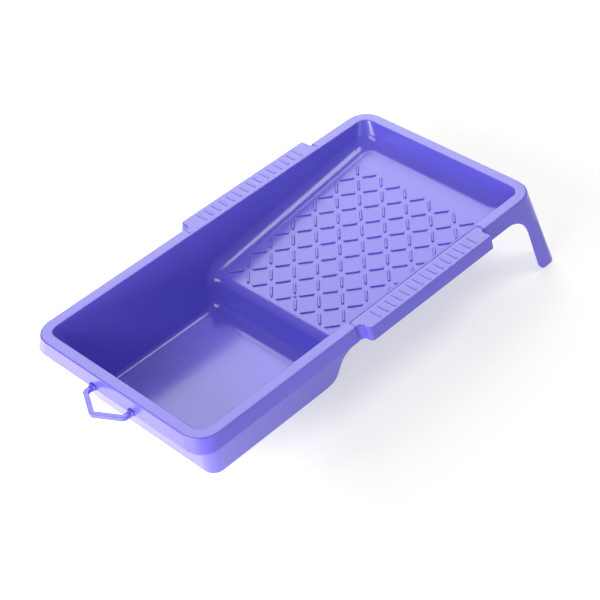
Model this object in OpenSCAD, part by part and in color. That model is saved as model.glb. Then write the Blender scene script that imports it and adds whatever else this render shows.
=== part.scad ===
// Small paint roller tray, one injection moulding, drawn as its named regions.
// Units are millimetres. +Z is up and Z = 0 is the floor the tray stands on.
// +X runs across the tray and +Y from the deep end towards the legs.
// The origin is under the middle of the bounding box.
// Every region is modelled from the front edge of the rim with Z = 0 on the
// rim top, and place() moves it into the part's frame.

/* [Rim] */

// Width across the rim, without the grip tabs
rim_w = 150; // [120:1:220]
// Length of the rim, without the hanging loop
rim_l = 296; // [240:1:360]
// Width of the flat flange between the outer edge and the hollow
flange_w = 7.5; // [5:0.5:15]
// Outer corner radius of the rim
rim_r = 14.5; // [10:0.5:25]
// Corner radius of the opening inside the flange
mouth_r = 7; // [4:0.5:12]
// Height of the rim top above the floor
tray_h = 56; // [45:1:80]
// Wall thickness of the moulding
wall = 2; // [1.5:0.1:3]
// Depth of the turned-down skirt below the rim top
skirt_h = 10.4; // [8:0.1:16]
// Depth of the skirt behind the grip tabs
rear_skirt_h = 11.2; // [8:0.1:18]
// Outward lean of the skirt at the sides, in degrees
skirt_lean_x = 11.5; // [2:0.5:15]
// Outward lean of the skirt at the ends, in degrees
skirt_lean_y = 7.5; // [2:0.5:12]

/* [Well] */

// Lean of the side walls, in degrees
side_draft = 13.5; // [5:0.5:18]
// Lean of the deep end wall, in degrees
front_draft = 14.7; // [5:0.1:20]
// Lean of the shallow end wall, in degrees
rear_draft = 12.4; // [5:0.1:20]
// Inside radius where the floor meets the side and end walls
floor_r = 4.1; // [2:0.1:8]
// Lean of the step between the well and the ramp, in degrees
step_draft = 15; // [8:1:30]
// Inside radius at the foot of the step
step_foot_r = 10.4; // [5:0.1:14]
// Radius over the top of the step
step_top_r = 7.5; // [4:0.5:12]
// Inside radius of the upright corners beside the step
step_side_r = 6; // [3:0.5:8]

/* [Ramp] */

// Distance from the front edge of the rim to the top of the step
step_y = 131.5; // [115:0.5:150]
// Depth of the ramp at the top of the step
ramp_depth = 32.6; // [25:0.1:40]
// Slope of the ramp, in degrees
ramp_slope = 6.28; // [3:0.01:9]
// Inside radius where the ramp meets the side and end walls
ramp_r = 11; // [5:0.5:16]

/* [Roller grid] */

// Distance between grid crossings across the tray and along the ramp
grid_pitch = 21.27; // [15:0.01:30]
// Number of crossings across the tray
grid_across = 5; // [3:1:7]
// Number of crossings along the ramp
grid_along = 6; // [3:1:8]
// Distance from the front edge of the rim to the first row of crossings
grid_y = 147.7; // [140:0.1:160]
// Length of one grid rib
rib_l = 9.4; // [5:0.1:12]
// Width of one grid rib
rib_w = 1.4; // [0.8:0.1:2.5]
// Height of one grid rib
rib_h = 0.9; // [0.4:0.1:2]
// Diameter of the moulding gate mark
gate_d = 1.7; // [1:0.1:4]
// Height of the moulding gate mark
gate_h = 0.6; // [0.2:0.1:1.5]

/* [Grip tabs] */

// How far each grip tab stands out from the rim
tab_w = 7.4; // [4:0.1:15]
// Distance from the front edge of the rim to the front of the tabs
tab_y0 = 131; // [100:1:150]
// Distance from the front edge of the rim to the back of the tabs
tab_y1 = 243; // [200:1:260]
// Depth of the turned-down edge of the tabs
tab_h = 9.5; // [6:0.1:14]
// Radius of the outer corner at the front of a tab
tab_r = 2.5; // [1:0.5:4]
// Radius of the outer corner at the back of a tab
tab_rear_r = 1.2; // [0.6:0.1:3]
// Radius where the front of a tab runs into the skirt
tab_root_r = 3; // [1:0.5:5]
// Depth of the flat panel sunk into each tab
panel_sink = 0.4; // [0.2:0.1:1]
// Distance of the panel from the opening
panel_gap = 1.7; // [1:0.1:4]
// Number of raised grip bars on each tab
grip_bars = 15; // [6:1:24]
// Height of the grip bars
grip_h = 0.35; // [0.2:0.05:0.4]
// Length of a grip bar, across the tab
grip_l = 8.6; // [4:0.1:9]
// Width of a grip bar, along the tab
grip_w = 1.6; // [0.8:0.1:3]
// Distance from an end of a tab to the middle of its first bar
grip_edge = 12; // [4:0.5:20]

/* [Legs] */

// Radius of the rim corner where it reaches the floor
foot_r = 7; // [4:0.5:14]
// Distance from the rear edge of the rim to the front edge of a leg
leg_in_y = 14.9; // [10:0.1:30]
// Distance from the side edge of the rim to the inner edge of a leg
leg_in_x = 11; // [8:0.1:30]
// Lean of the front edge of a leg, in degrees
leg_lean_y = 8; // [0:0.1:12]
// Lean of the inner edge of a leg, in degrees
leg_lean_x = 9; // [0:0.1:15]
// Radius of the arch between the skirt and a leg
arch_r = 18; // [8:1:24]
// Radius of the lower corners of a foot
toe_r = 5; // [1:0.1:6]

/* [Hanging loop] */

// Distance between the middles of the two arms of the loop
loop_w = 34; // [20:1:60]
// Distance from the front edge of the rim to the shoulders of the loop
loop_shoulder = 7.2; // [3:0.1:15]
// Distance from the front edge of the rim to the tip of the loop
loop_reach = 18.6; // [12:0.1:30]
// Width of the bar that makes the loop
bar_w = 3.4; // [2:0.1:6]
// Thickness of the bar that makes the loop
bar_t = 2.8; // [2:0.1:5]
// Width of the boss at the root of each arm
boss_w = 5.4; // [4:0.1:10]
// Thickness of the boss at the root of each arm
boss_t = 3.6; // [3:0.1:6]
// How far each boss stands out from the front edge of the rim
boss_out = 3.6; // [2:0.1:8]

/* [Hidden] */

$fn = 64;
// Spare length of the cutting shapes
over = 1;
// Length and reach of a shape that cuts right through the tray
far = 500;
sx = tan(side_draft);
fy = tan(front_draft);
ry = tan(rear_draft);
py = tan(step_draft);
ky = tan(ramp_slope);
lx = tan(skirt_lean_x);
ly = tan(skirt_lean_y);
mouth_x = rim_w / 2 - flange_w;
well_depth = tray_h - wall;
// The foot of the legs is the rearmost point and the loop tip the foremost
rear_end = rim_l + ly * tray_h;
mid_y = (rear_end - loop_reach) / 2;
// The plane that parts the well from the ramp
part_y = step_y + step_top_r;
// The planes that part the side skirts from the corner pieces
front_part = rim_r;
leg_part_y = rim_l - leg_in_y - arch_r - over;
leg_part_x = rim_w / 2 - leg_in_x - arch_r - over;
tab_x = rim_w / 2 + tab_w;
panel_x = mouth_x + panel_gap;
panel_r = 2;
tab_slant = 1.5;
// The round over the step is set forward and up by this much, so that it crosses
// the step and the ramp instead of only touching them
soft = 0.04;
plastic = [0.45, 0.42, 0.83];

function unit(v) = v / norm(v);

// Moves a region from the rim's own frame into the part's frame
module place() {
    translate([0, -mid_y, tray_h]) {
        children();
    }
}

// Lays out children with their x axis along u and their z axis along a
module stand(p, u, a) {
    v = cross(a, u);
    multmatrix([
        [u.x, v.x, a.x, p.x],
        [u.y, v.y, a.y, p.y],
        [u.z, v.z, a.z, p.z],
        [0, 0, 0, 1]
    ]) {
        children();
    }
}

// Prism of an (x, z) outline, running along y
module along_y(y0, y1) {
    translate([0, y1, 0]) {
        rotate([90, 0, 0]) {
            linear_extrude(y1 - y0) {
                children();
            }
        }
    }
}

// Prism of a (y, z) outline, running along x
module along_x(x0, x1) {
    translate([x0, 0, 0]) {
        rotate([90, 0, 90]) {
            linear_extrude(x1 - x0) {
                children();
            }
        }
    }
}

// Curved triangle that rounds the corner p of an outline with radius r,
// where a and b are points further along its two sides
module nick(p, a, b, r) {
    u = unit(a - p);
    v = unit(b - p);
    half = acos(u * v) / 2;
    t = r / tan(half);
    c = p + unit(u + v) * r / sin(half);
    out = unit(p - c) * over;
    difference() {
        polygon([p + u * t, p + u * t + out, p + out, p + v * t + out, p + v * t]);
        translate(c) {
            circle(r);
        }
    }
}

// The same triangle kept inside the corner, to fill a hollow corner
module fill(p, a, b, r) {
    u = unit(a - p);
    v = unit(b - p);
    half = acos(u * v) / 2;
    t = r / tan(half);
    c = p + unit(u + v) * r / sin(half);
    difference() {
        polygon([p + u * t, p, p + v * t]);
        translate(c) {
            circle(r);
        }
    }
}

// Cutter that rounds the edge from e0 to e1 between two faces with outward
// normals n1 and n2, with radius r0 at e0 and r1 at e1
module round_edge(e0, e1, n1, n2, r0, r1, spread) {
    b = unit(n1 + n2);
    cosf = n1 * b;
    s0 = e0 - b * r0 / cosf;
    s1 = e1 - b * r1 / cosf;
    axis = unit(s1 - s0);
    run = norm(s1 - s0);
    taper = asin((r0 - r1) / run);
    // The faces lean, so the cutters run on past both ends of the edge
    more = max(r0, r1) / 2;
    q0 = s0 + b * r0 * cosf;
    q1 = s1 + b * r1 * cosf;
    edge = unit(q1 - q0);
    face = unit(b - (b * edge) * edge);
    grow = tan(taper) * 2 * more;
    side = unit(b - (b * axis) * axis);
    difference() {
        stand(q0, face, edge) {
            translate([0, -spread, -more]) {
                cube([spread, 2 * spread, run + 2 * more]);
            }
        }
        stand(s0, side, axis) {
            translate([0, 0, -2 * more]) {
                cylinder(
                    h = run + 4 * more,
                    r1 = r0 / cos(taper) + grow, r2 = r1 / cos(taper) - grow
                );
            }
        }
    }
}

// Half width of the tub at height z, grown outwards by g
function tub_x(z, g) = mouth_x + sx * z + g / cos(side_draft);
// The same for the ramp, drawn in by soft so that its sides stay clear of the
// deep block's rounds
function deck_x(z, g) = tub_x(z, g) - soft;
// The deep end wall, the step, the shallow end wall and the ramp
function front_y(z, g) = flange_w - fy * z - g / cos(front_draft);
function riser_y(z, g) = step_y + py * (z + ramp_depth) + g / cos(step_draft);
function back_y(z, g) = rim_l - flange_w + ry * z + g / cos(rear_draft);
function ramp_z(y, g) = -ramp_depth + ky * (y - step_y) - g / cos(ramp_slope);
// Where the ramp meets the shallow end wall
function heel_y(g) = (rim_l - flange_w + ry * ramp_z(0, g) + g / cos(rear_draft))
    / (1 - ry * ky);
// Where the step, set forward by soft, meets the ramp, raised by soft
function crest_y(g) = (riser_y(ramp_z(0, g) + soft, g) - soft) / (1 - py * ky);

side_n = unit([1, 0, -sx]);
front_n = unit([0, -1, -fy]);
riser_n = unit([0, 1, -py]);
back_n = unit([0, 1, -ry]);
ramp_n = unit([0, ky, -1]);

function flip(v, s) = [s * v.x, v.y, v.z];

// The deep block of the hollow, grown by g for the outside of the wall
module well_block(g) {
    zf = -well_depth - g;
    zt = over;
    side_top = [tub_x(zt, g), zt];
    side_foot = [tub_x(zf, g), zf];
    front_foot = [front_y(zf, g), zf];
    riser_foot = [riser_y(zf, g), zf];
    r = floor_r + g;
    difference() {
        intersection() {
            along_y(-over, step_y + 3 * step_top_r) {
                difference() {
                    polygon([[-side_top.x, zt], [-side_foot.x, zf], side_foot, side_top]);
                    nick(side_foot, side_top, [0, zf], r);
                    mirror([1, 0]) {
                        nick(side_foot, side_top, [0, zf], r);
                    }
                }
            }
            along_x(-rim_w, rim_w) {
                difference() {
                    polygon([[front_y(zt, g), zt], front_foot, riser_foot, [riser_y(zt, g), zt]]);
                    nick(front_foot, [front_y(zt, g), zt], riser_foot, r);
                    nick(riser_foot, [riser_y(zt, g), zt], front_foot, step_foot_r + g);
                }
            }
        }
        for (s = [-1, 1]) {
            round_edge(
                [s * tub_x(zt, g), front_y(zt, g), zt], [s * tub_x(zf, g), front_y(zf, g), zf],
                flip(side_n, s), front_n, mouth_r + g, mouth_r + g, 3 * mouth_r
            );
            round_edge(
                [s * tub_x(zt, g), riser_y(zt, g), zt], [s * tub_x(zf, g), riser_y(zf, g), zf],
                flip(side_n, s), riser_n, step_side_r + g, step_side_r + g, 3 * mouth_r
            );
        }
    }
}

// The shallow block of the hollow over the ramp, grown by g. Its front part lies
// inside the deep block.
module ramp_block(g) {
    y0 = step_y - 2 * step_top_r;
    yh = heel_y(g);
    zh = ramp_z(yh, g);
    z0 = ramp_z(y0, g);
    zt = over;
    difference() {
        intersection() {
            along_y(y0 - over, rim_l) {
                polygon([
                    [-deck_x(zt, g), zt], [-deck_x(z0, g), z0], [deck_x(z0, g), z0], [deck_x(zt, g), zt]
                ]);
            }
            along_x(-rim_w, rim_w) {
                difference() {
                    polygon([[y0, zt], [y0, z0], [yh, zh], [back_y(zt, g), zt]]);
                    nick([yh, zh], [back_y(zt, g), zt], [y0, z0], ramp_r + g);
                }
            }
        }
        for (s = [-1, 1]) {
            round_edge(
                [s * deck_x(z0, g), y0, z0], [s * deck_x(zh, g), yh, zh],
                flip(side_n, s), ramp_n, ramp_r + g, ramp_r + g, 3 * mouth_r
            );
            round_edge(
                [s * deck_x(zt, g), back_y(zt, g), zt], [s * deck_x(zh, g), back_y(zh, g), zh - over],
                flip(side_n, s), back_n, mouth_r + g, mouth_r + g, 3 * mouth_r
            );
        }
    }
}

// The extra hollow left by the round over the top of the step, between the
// fillets at the sides of the ramp
module crest(g) {
    r = step_top_r - g;
    t = r * tan((90 - step_draft - ramp_slope) / 2);
    yc = crest_y(g);
    zc = ramp_z(yc, g) + soft;
    low = [yc - t * sin(step_draft), zc - t * cos(step_draft)];
    high = [yc + t * cos(ramp_slope), zc + t * sin(ramp_slope)];
    y0 = low.x - step_top_r;
    half = tub_x(zc, g) - ramp_r - g;
    along_x(-half, half) {
        polygon([[y0, low.y], low, [yc, zc], high, high + [0, t], [y0, high.y + t]]);
        fill([yc, zc], low, high, r);
    }
}

// The mouth of the hollow where it passes through the flange
module mouth() {
    zb = -2 * wall;
    zt = over;
    difference() {
        intersection() {
            along_y(0, rim_l) {
                polygon([
                    [-tub_x(zt, 0), zt], [-tub_x(zb, 0), zb], [tub_x(zb, 0), zb], [tub_x(zt, 0), zt]
                ]);
            }
            along_x(-rim_w, rim_w) {
                polygon([
                    [front_y(zt, 0), zt], [front_y(zb, 0), zb], [back_y(zb, 0), zb], [back_y(zt, 0), zt]
                ]);
            }
        }
        for (s = [-1, 1]) {
            round_edge(
                [s * tub_x(zt, 0), front_y(zt, 0), zt], [s * tub_x(zb, 0), front_y(zb, 0), zb],
                flip(side_n, s), front_n, mouth_r, mouth_r, 3 * mouth_r
            );
            round_edge(
                [s * tub_x(zt, 0), back_y(zt, 0), zt], [s * tub_x(zb, 0), back_y(zb, 0), zb],
                flip(side_n, s), back_n, mouth_r, mouth_r, 3 * mouth_r
            );
        }
    }
}

// The whole hollow, grown by g for the outside of the wall
module tub(g) {
    union() {
        well_block(g);
        ramp_block(g);
        crest(g);
    }
}

// The wall of the hollow below the flange, between two planes across it
module tub_wall(y0, y1) {
    difference() {
        intersection() {
            tub(wall);
            translate([-rim_w, y0, -tray_h - over]) {
                cube([2 * rim_w, y1 - y0, tray_h + over - wall]);
            }
        }
        tub(0);
    }
}

// The leaning outside of the skirt and legs, shrunk by g for the inside
module skirt_block(g) {
    zb = -tray_h - over;
    x0 = rim_w / 2 - g / cos(skirt_lean_x);
    y0 = g / cos(skirt_lean_y);
    y1 = rim_l - y0;
    xb = x0 - lx * zb;
    shrink = (rim_r - foot_r) / tray_h;
    r0 = rim_r - g;
    r1 = max(rim_r - g + shrink * zb, over / 2);
    n1 = unit([1, 0, lx]);
    difference() {
        intersection() {
            along_y(-rim_l, 2 * rim_l) {
                polygon([[-x0, 0], [-xb, zb], [xb, zb], [x0, 0]]);
            }
            along_x(-rim_w, rim_w) {
                polygon([[y0, 0], [y0 + ly * zb, zb], [y1 - ly * zb, zb], [y1, 0]]);
            }
        }
        for (s = [-1, 1]) {
            round_edge(
                [s * x0, y0, 0], [s * xb, y0 + ly * zb, zb],
                flip(n1, s), unit([0, -1, ly]), r0, r1, 2 * rim_r
            );
            round_edge(
                [s * x0, y1, 0], [s * xb, y1 - ly * zb, zb],
                flip(n1, s), unit([0, 1, ly]), r0, r1, 2 * rim_r
            );
        }
    }
}

// A box between two corners
module span(a, b) {
    translate(a) {
        cube(b - a);
    }
}

// The skirt's wall inside a box
module skirt_wall(a, b) {
    intersection() {
        difference() {
            skirt_block(0);
            skirt_block(wall);
        }
        span(a, b);
    }
}

// Plan of a grip tab on the right, out to x1, with ends leaning towards its root
module tab_plan(x1, g) {
    x0 = rim_w / 2 - wall / 2;
    lean = tab_slant / tab_w * (x1 - rim_w / 2);
    a = [x0, tab_y0 - tab_slant + g];
    b = [x1, tab_y0 - tab_slant + lean + g];
    c = [x1, tab_y1 - lean / 2 - g];
    d = [x0, tab_y1 - g];
    difference() {
        polygon([a, b, c, d]);
        nick(b, a, c, tab_r);
        nick(c, b, d, tab_rear_r);
    }
}

// The tab's leaning outside, shrunk by g for the inside
module tab_block(g) {
    x0 = tab_x - g / cos(skirt_lean_x);
    xb = x0 + lx * tray_h;
    intersection() {
        translate([0, 0, -tab_h]) {
            linear_extrude(tab_h) {
                tab_plan(tab_x + lx * tab_h / 2 - g, g);
            }
        }
        along_y(0, rim_l) {
            polygon([[0, over], [0, -tray_h], [xb, -tray_h], [x0 - lx * over, over]]);
        }
    }
}

// The sunk panel that covers a tab and most of the flange beside it
module panel() {
    y0 = tab_y0 - 2 * tab_slant - tab_root_r;
    y1 = tab_y1 + over;
    translate([0, 0, -panel_sink]) {
        linear_extrude(panel_sink + over) {
            difference() {
                polygon([
                    [panel_x, y0], [tab_x + tray_h, y0], [tab_x + tray_h, y1], [panel_x, y1]
                ]);
                nick([panel_x, y0], [panel_x, y1], [tab_x, y0], panel_r);
                nick([panel_x, y1], [panel_x, y0], [tab_x, y1], panel_r);
            }
        }
    }
}

module mirrored(s) {
    if (s < 0) {
        mirror([1, 0, 0]) {
            children();
        }
    } else {
        children();
    }
}

module grip_tab(s) {
    mirrored(s) {
        difference() {
            tab_block(0);
            difference() {
                tab_block(wall);
                span([0, 0, -wall], [rim_w, rim_l, over]);
            }
            skirt_block(0);
            panel();
        }
    }
}

module paint_well() {
    color(plastic) {
        place() {
            tub_wall(-over, part_y);
        }
    }
}

module ramp_deck() {
    color(plastic) {
        place() {
            tub_wall(part_y, rim_l + over);
        }
    }
}

module rim_flange() {
    color(plastic) {
        place() {
            difference() {
                intersection() {
                    skirt_block(0);
                    span([-rim_w, -rim_w, -wall], [rim_w, 2 * rim_l, over]);
                }
                mouth();
                for (s = [-1, 1]) {
                    mirrored(s) {
                        panel();
                    }
                }
            }
        }
    }
}

module front_skirt() {
    color(plastic) {
        place() {
            skirt_wall([-rim_w, -rim_w, -skirt_h], [rim_w, front_part, -wall]);
        }
    }
}

module rear_skirt() {
    color(plastic) {
        place() {
            skirt_wall([-leg_part_x, rim_l / 2, -rear_skirt_h], [leg_part_x, 2 * rim_l, -wall]);
        }
    }
}

module side_skirt(s) {
    mirrored(s) {
        skirt_wall([0, front_part, -skirt_h], [rim_w, tab_y0 - tab_slant, -wall]);
        skirt_wall([0, tab_y1, -rear_skirt_h], [rim_w, leg_part_y, -wall]);
    }
}

module left_skirt() {
    color(plastic) {
        place() {
            side_skirt(-1);
        }
    }
}

module right_skirt() {
    color(plastic) {
        place() {
            side_skirt(1);
        }
    }
}

// The opening beside a leg as an outline whose first axis runs towards the leg
module arch(edge, lean) {
    top = [edge, -rear_skirt_h];
    foot = [edge + tan(lean) * (tray_h - rear_skirt_h), -tray_h];
    difference() {
        union() {
            polygon([[-far, top.y], top, foot, [foot.x, -far], [-far, -far]]);
            fill(foot, top, foot + [over, 0], toe_r);
        }
        nick(top, [-far, top.y], foot, arch_r);
    }
}

module leg(s) {
    mirrored(s) {
        difference() {
            skirt_wall([leg_part_x, leg_part_y, -tray_h], [rim_w, 2 * rim_l, -wall]);
            along_x(leg_part_x - over, rim_w) {
                arch(rim_l - leg_in_y, leg_lean_y);
            }
            along_y(rim_l - leg_in_y, 2 * rim_l) {
                arch(rim_w / 2 - leg_in_x, leg_lean_x);
            }
        }
    }
}

module left_leg() {
    color(plastic) {
        place() {
            leg(-1);
        }
    }
}

module right_leg() {
    color(plastic) {
        place() {
            leg(1);
        }
    }
}

module left_grip_tab() {
    color(plastic) {
        place() {
            grip_tab(-1);
        }
    }
}

module right_grip_tab() {
    color(plastic) {
        place() {
            grip_tab(1);
        }
    }
}

// A bar of width w with round ends, lying along x
module stadium(l, w) {
    square([l - w, w], center = true);
    for (s = [-1, 1]) {
        translate([s * (l - w) / 2, 0]) {
            circle(w / 2);
        }
    }
}

module grip_bar_row(s) {
    pitch = (tab_y1 - tab_y0 - 2 * grip_edge) / (grip_bars - 1);
    mirrored(s) {
        for (i = [0 : grip_bars - 1]) {
            translate([(panel_x + tab_x) / 2, tab_y0 + grip_edge + i * pitch, -panel_sink]) {
                linear_extrude(grip_h) {
                    stadium(grip_l, grip_w);
                }
            }
        }
    }
}

module left_grip_bars() {
    color(plastic) {
        place() {
            grip_bar_row(-1);
        }
    }
}

module right_grip_bars() {
    color(plastic) {
        place() {
            grip_bar_row(1);
        }
    }
}

// Lays children on the ramp's surface, at the middle of the first grid row
module on_ramp() {
    translate([0, grid_y, ramp_z(grid_y, 0)]) {
        rotate([ramp_slope, 0, 0]) {
            children();
        }
    }
}

module roller_grid() {
    color(plastic) {
        place() {
            on_ramp() {
                for (i = [0 : grid_across - 1], j = [0 : grid_along - 1], a = [45 : 90 : 315]) {
                    translate([(i - (grid_across - 1) / 2) * grid_pitch, j * grid_pitch, 0]) {
                        rotate([0, 0, a]) {
                            translate([grid_pitch / sqrt(8), 0, 0]) {
                                linear_extrude(rib_h) {
                                    stadium(rib_l, rib_w);
                                }
                            }
                        }
                    }
                }
            }
        }
    }
}

module gate_mark() {
    color(plastic) {
        place() {
            on_ramp() {
                cylinder(h = gate_h, d = gate_d);
            }
        }
    }
}

// One straight bar of the loop between two points
module link(p, q, w) {
    d = q - p;
    translate((p + q) / 2) {
        rotate(atan2(d.y, d.x)) {
            square([norm(d), w], center = true);
        }
    }
}

module loop_plan() {
    hw = loop_w / 2;
    tip = [0, -loop_reach + bar_w / 2];
    for (s = [-1, 1]) {
        shoulder = [s * hw, -loop_shoulder];
        link([s * hw, -boss_out], shoulder, bar_w);
        link(shoulder, tip, bar_w);
        translate(shoulder) {
            circle(bar_w / 2);
        }
    }
    translate(tip) {
        circle(bar_w / 2);
    }
}

module hang_loop() {
    color(plastic) {
        place() {
            translate([0, 0, -skirt_h]) {
                linear_extrude(bar_t) {
                    loop_plan();
                }
            }
        }
    }
}

module loop_bosses() {
    color(plastic) {
        place() {
            difference() {
                for (s = [-1, 1]) {
                    span(
                        [s * loop_w / 2 - boss_w / 2, -boss_out, -skirt_h],
                        [s * loop_w / 2 + boss_w / 2, wall / 2, -skirt_h + boss_t]
                    );
                }
                skirt_block(0);
            }
        }
    }
}

paint_well();
ramp_deck();
rim_flange();
front_skirt();
rear_skirt();
left_skirt();
right_skirt();
left_leg();
right_leg();
left_grip_tab();
right_grip_tab();
left_grip_bars();
right_grip_bars();
roller_grid();
gate_mark();
loop_bosses();
hang_loop();
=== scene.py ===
import math
import bpy
import numpy as np
from mathutils import Euler, Matrix, Vector


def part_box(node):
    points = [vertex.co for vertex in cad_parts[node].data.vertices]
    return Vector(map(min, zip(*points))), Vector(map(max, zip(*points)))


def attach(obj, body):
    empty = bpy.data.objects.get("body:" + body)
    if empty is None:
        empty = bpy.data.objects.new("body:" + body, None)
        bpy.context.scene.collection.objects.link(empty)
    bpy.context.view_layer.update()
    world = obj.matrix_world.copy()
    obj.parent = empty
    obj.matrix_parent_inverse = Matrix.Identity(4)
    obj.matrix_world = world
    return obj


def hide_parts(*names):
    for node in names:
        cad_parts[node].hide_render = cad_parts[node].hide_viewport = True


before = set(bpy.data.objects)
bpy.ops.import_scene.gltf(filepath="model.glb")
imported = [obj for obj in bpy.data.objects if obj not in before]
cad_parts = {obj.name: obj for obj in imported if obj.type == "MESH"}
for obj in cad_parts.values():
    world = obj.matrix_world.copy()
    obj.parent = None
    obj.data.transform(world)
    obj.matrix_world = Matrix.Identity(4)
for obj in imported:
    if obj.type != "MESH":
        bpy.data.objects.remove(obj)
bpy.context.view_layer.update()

MM = 0.001

# ---------------------------------------------------------------- sizes, in mm
# The rim, the mouth and the wall
RIM_W, RIM_L, FLANGE, RIM_R, MOUTH_R, TRAY_H, WALL = 150.0, 296.0, 7.5, 14.5, 7.0, 56.0, 2.0
RIM_X = RIM_W / 2
MOUTH_X = RIM_X - FLANGE
# Depth of the skirt in front and behind, and the corner radius of the legs at the floor
SKIRT, REAR_SKIRT, FOOT_R = 10.4, 11.2, 7.0
# Slopes of the tub: side, front and rear walls, step, ramp
SX, FY, RY, PY, KY = (math.tan(math.radians(a)) for a in (13.5, 14.7, 12.4, 15.0, 6.28))
# Lean of the skirt at the sides and at the ends, in degrees and as slopes
LEAN_X, LEAN_Y = 11.5, 7.5
LX, LY = math.tan(math.radians(LEAN_X)), math.tan(math.radians(LEAN_Y))
# Radii inside the tub: round the floor, foot and top of the step, round the ramp
FLOOR_R, FOOT_STEP_R, CREST_R, RAMP_R = 4.1, 10.4, 7.5, 11.0
# Between these y the radius round the floor grows to that round the ramp
GROW_Y0, GROW_Y1 = 112, 142
# How much the radius of the tub's rear corners grows with depth, and down to which depth
REAR_GROWTH, REAR_GROWTH_D = 0.45, 20
STEP_Y, RAMP_D = 131.5, 32.6
PART_Y = STEP_Y + CREST_R
# The sunk panel on each tab
PANEL_SINK, PANEL_GAP, PANEL_Y0, PANEL_Y1 = 0.4, 1.7, 126.6, 244.2
PANEL_X = MOUTH_X + PANEL_GAP
# The tabs: outer edge, depth, front and rear end
TAB_X, TAB_H, TAB_Y0, TAB_Y1 = RIM_X + 7.4, 9.5, 131.0, 243.0
# Where the tab pieces are parted from the skirts
TAB_CUT_Y0, TAB_CUT_Y1 = 124.5, 246
# Where the outline of a tab is traced point by point, at its front and at its back
FRONT_SPAN, BACK_SPAN = (118, 142), (232, 252)
# Grip bars: how many, length, width, height, and how far the first is from the tab's end
GRIP_BARS, GRIP_L, GRIP_W, GRIP_H, GRIP_EDGE = 15, 8.6, 1.6, 0.35, 12
# Legs, as (on the rear face, on the side face): distance in from the rim's edge, and lean
LEG_IN, LEG_LEAN = (11.0, 14.9), (9.0, 8.0)
# Radii at the top and the foot of a leg, and how far from its edge the leg piece begins
ARCH_R, TOE_R, ARCH_REACH = 18.0, 5.0, 19
# Roundings: mouth, rim and lip
EDGE_R, RIM_EDGE_R, LIP_R = 0.8, 0.9, 0.5
# How far the fillet between the skirt and the flange's underside reaches down and in
FILLET_DOWN, FILLET_IN = 1.3, 1.2

# The middle of the front rim edge, on the rim top, in the row frame
rim_lo, rim_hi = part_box("rim_flange")
ORIGIN = np.array([0.0, rim_lo.y / MM + LY * WALL, rim_hi.z / MM])


def unit(v):
    return v / np.maximum(np.linalg.norm(v, axis=-1, keepdims=True), 1e-12)


def smooth(t):
    t = np.clip(t, 0, 1)
    return t * t * (3 - 2 * t)


# ------------------------------------------------- the tub as a distance field
def roundmax(a, ga, b, gb, r):
    """The larger of two distances, with the corner between them rounded to radius r."""
    c = np.clip((ga * gb).sum(-1), -0.999, 0.99999)
    u, v, s = a + r, b + r, 1 - c * c
    m = (u - c * v > 0) & (v - c * u > 0) & (s > 1e-4)
    q = np.sqrt(np.maximum((u * u + v * v - 2 * c * u * v) / s, 1e-12))
    val = np.where(m, q - r, np.maximum(a, b))
    g = ((u - c * v)[:, None] * ga + (v - c * u)[:, None] * gb) / (s * q)[:, None]
    grad = np.where(m[:, None], g, np.where((a > b)[:, None], ga, gb))
    return val, unit(grad)


def plane(p, nx, ny, nz, d):
    """Distance beyond the plane where n . p = d, for a normal n of any length, and the unit normal."""
    n = np.stack(np.broadcast_arrays(nx, ny, nz, p[:, 0] * 0)[:3], -1).astype(float)
    ln = np.linalg.norm(n, axis=1)
    return ((n * p).sum(1) - d) / ln, n / ln[:, None]


def tub(p):
    """Distance outwards from the inner face of the tub: 0 on the inside, WALL on the outside."""
    x, y, z = p[:, 0], p[:, 1], p[:, 2]
    sg = np.where(x < 0, -1.0, 1.0)
    side, gs = plane(p, sg, 0, -SX, MOUTH_X)
    front, gf = plane(p, 0, -1, -FY, -FLANGE)
    back, gb = plane(p, 0, 1, -RY, RIM_L - FLANGE)
    w1, g1 = roundmax(side, gs, front, gf, MOUTH_R)
    w2, g2 = roundmax(side, gs, back, gb, MOUTH_R + REAR_GROWTH * np.clip(-z, 0, REAR_GROWTH_D))
    near = y < RIM_L / 2
    w, gw = np.where(near, w1, w2), np.where(near[:, None], g1, g2)
    floor, g3 = plane(p, 0, 0, -1, TRAY_H - WALL)
    riser, g4 = plane(p, 0, 1, -PY, STEP_Y + PY * RAMP_D)
    ramp, g5 = plane(p, 0, KY, -1, RAMP_D + KY * STEP_Y)
    deep, g6 = roundmax(floor, g3, riser, g4, FOOT_STEP_R)
    b, g7 = roundmax(-deep, -g6, -ramp, -g5, CREST_R)
    r = FLOOR_R + (RAMP_R - FLOOR_R) * smooth((y - GROW_Y0) / (GROW_Y1 - GROW_Y0))
    return roundmax(w, gw, -b, -g7, r)


def tub_normal(p):
    h, g = 0.01, np.zeros_like(p)
    for k in range(3):
        d = np.zeros(3)
        d[k] = h
        g[:, k] = tub(p + d)[0] - tub(p - d)[0]
    return unit(g)


def bisect(f, lo, hi, n=44):
    """Where f, rising from below 0 to above 0 between lo and hi, is 0."""
    lo, hi = lo.copy(), hi.copy()
    for _ in range(n):
        mid = (lo + hi) / 2
        up = f(mid) < 0
        lo, hi = np.where(up, mid, lo), np.where(up, hi, mid)
    return (lo + hi) / 2


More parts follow.
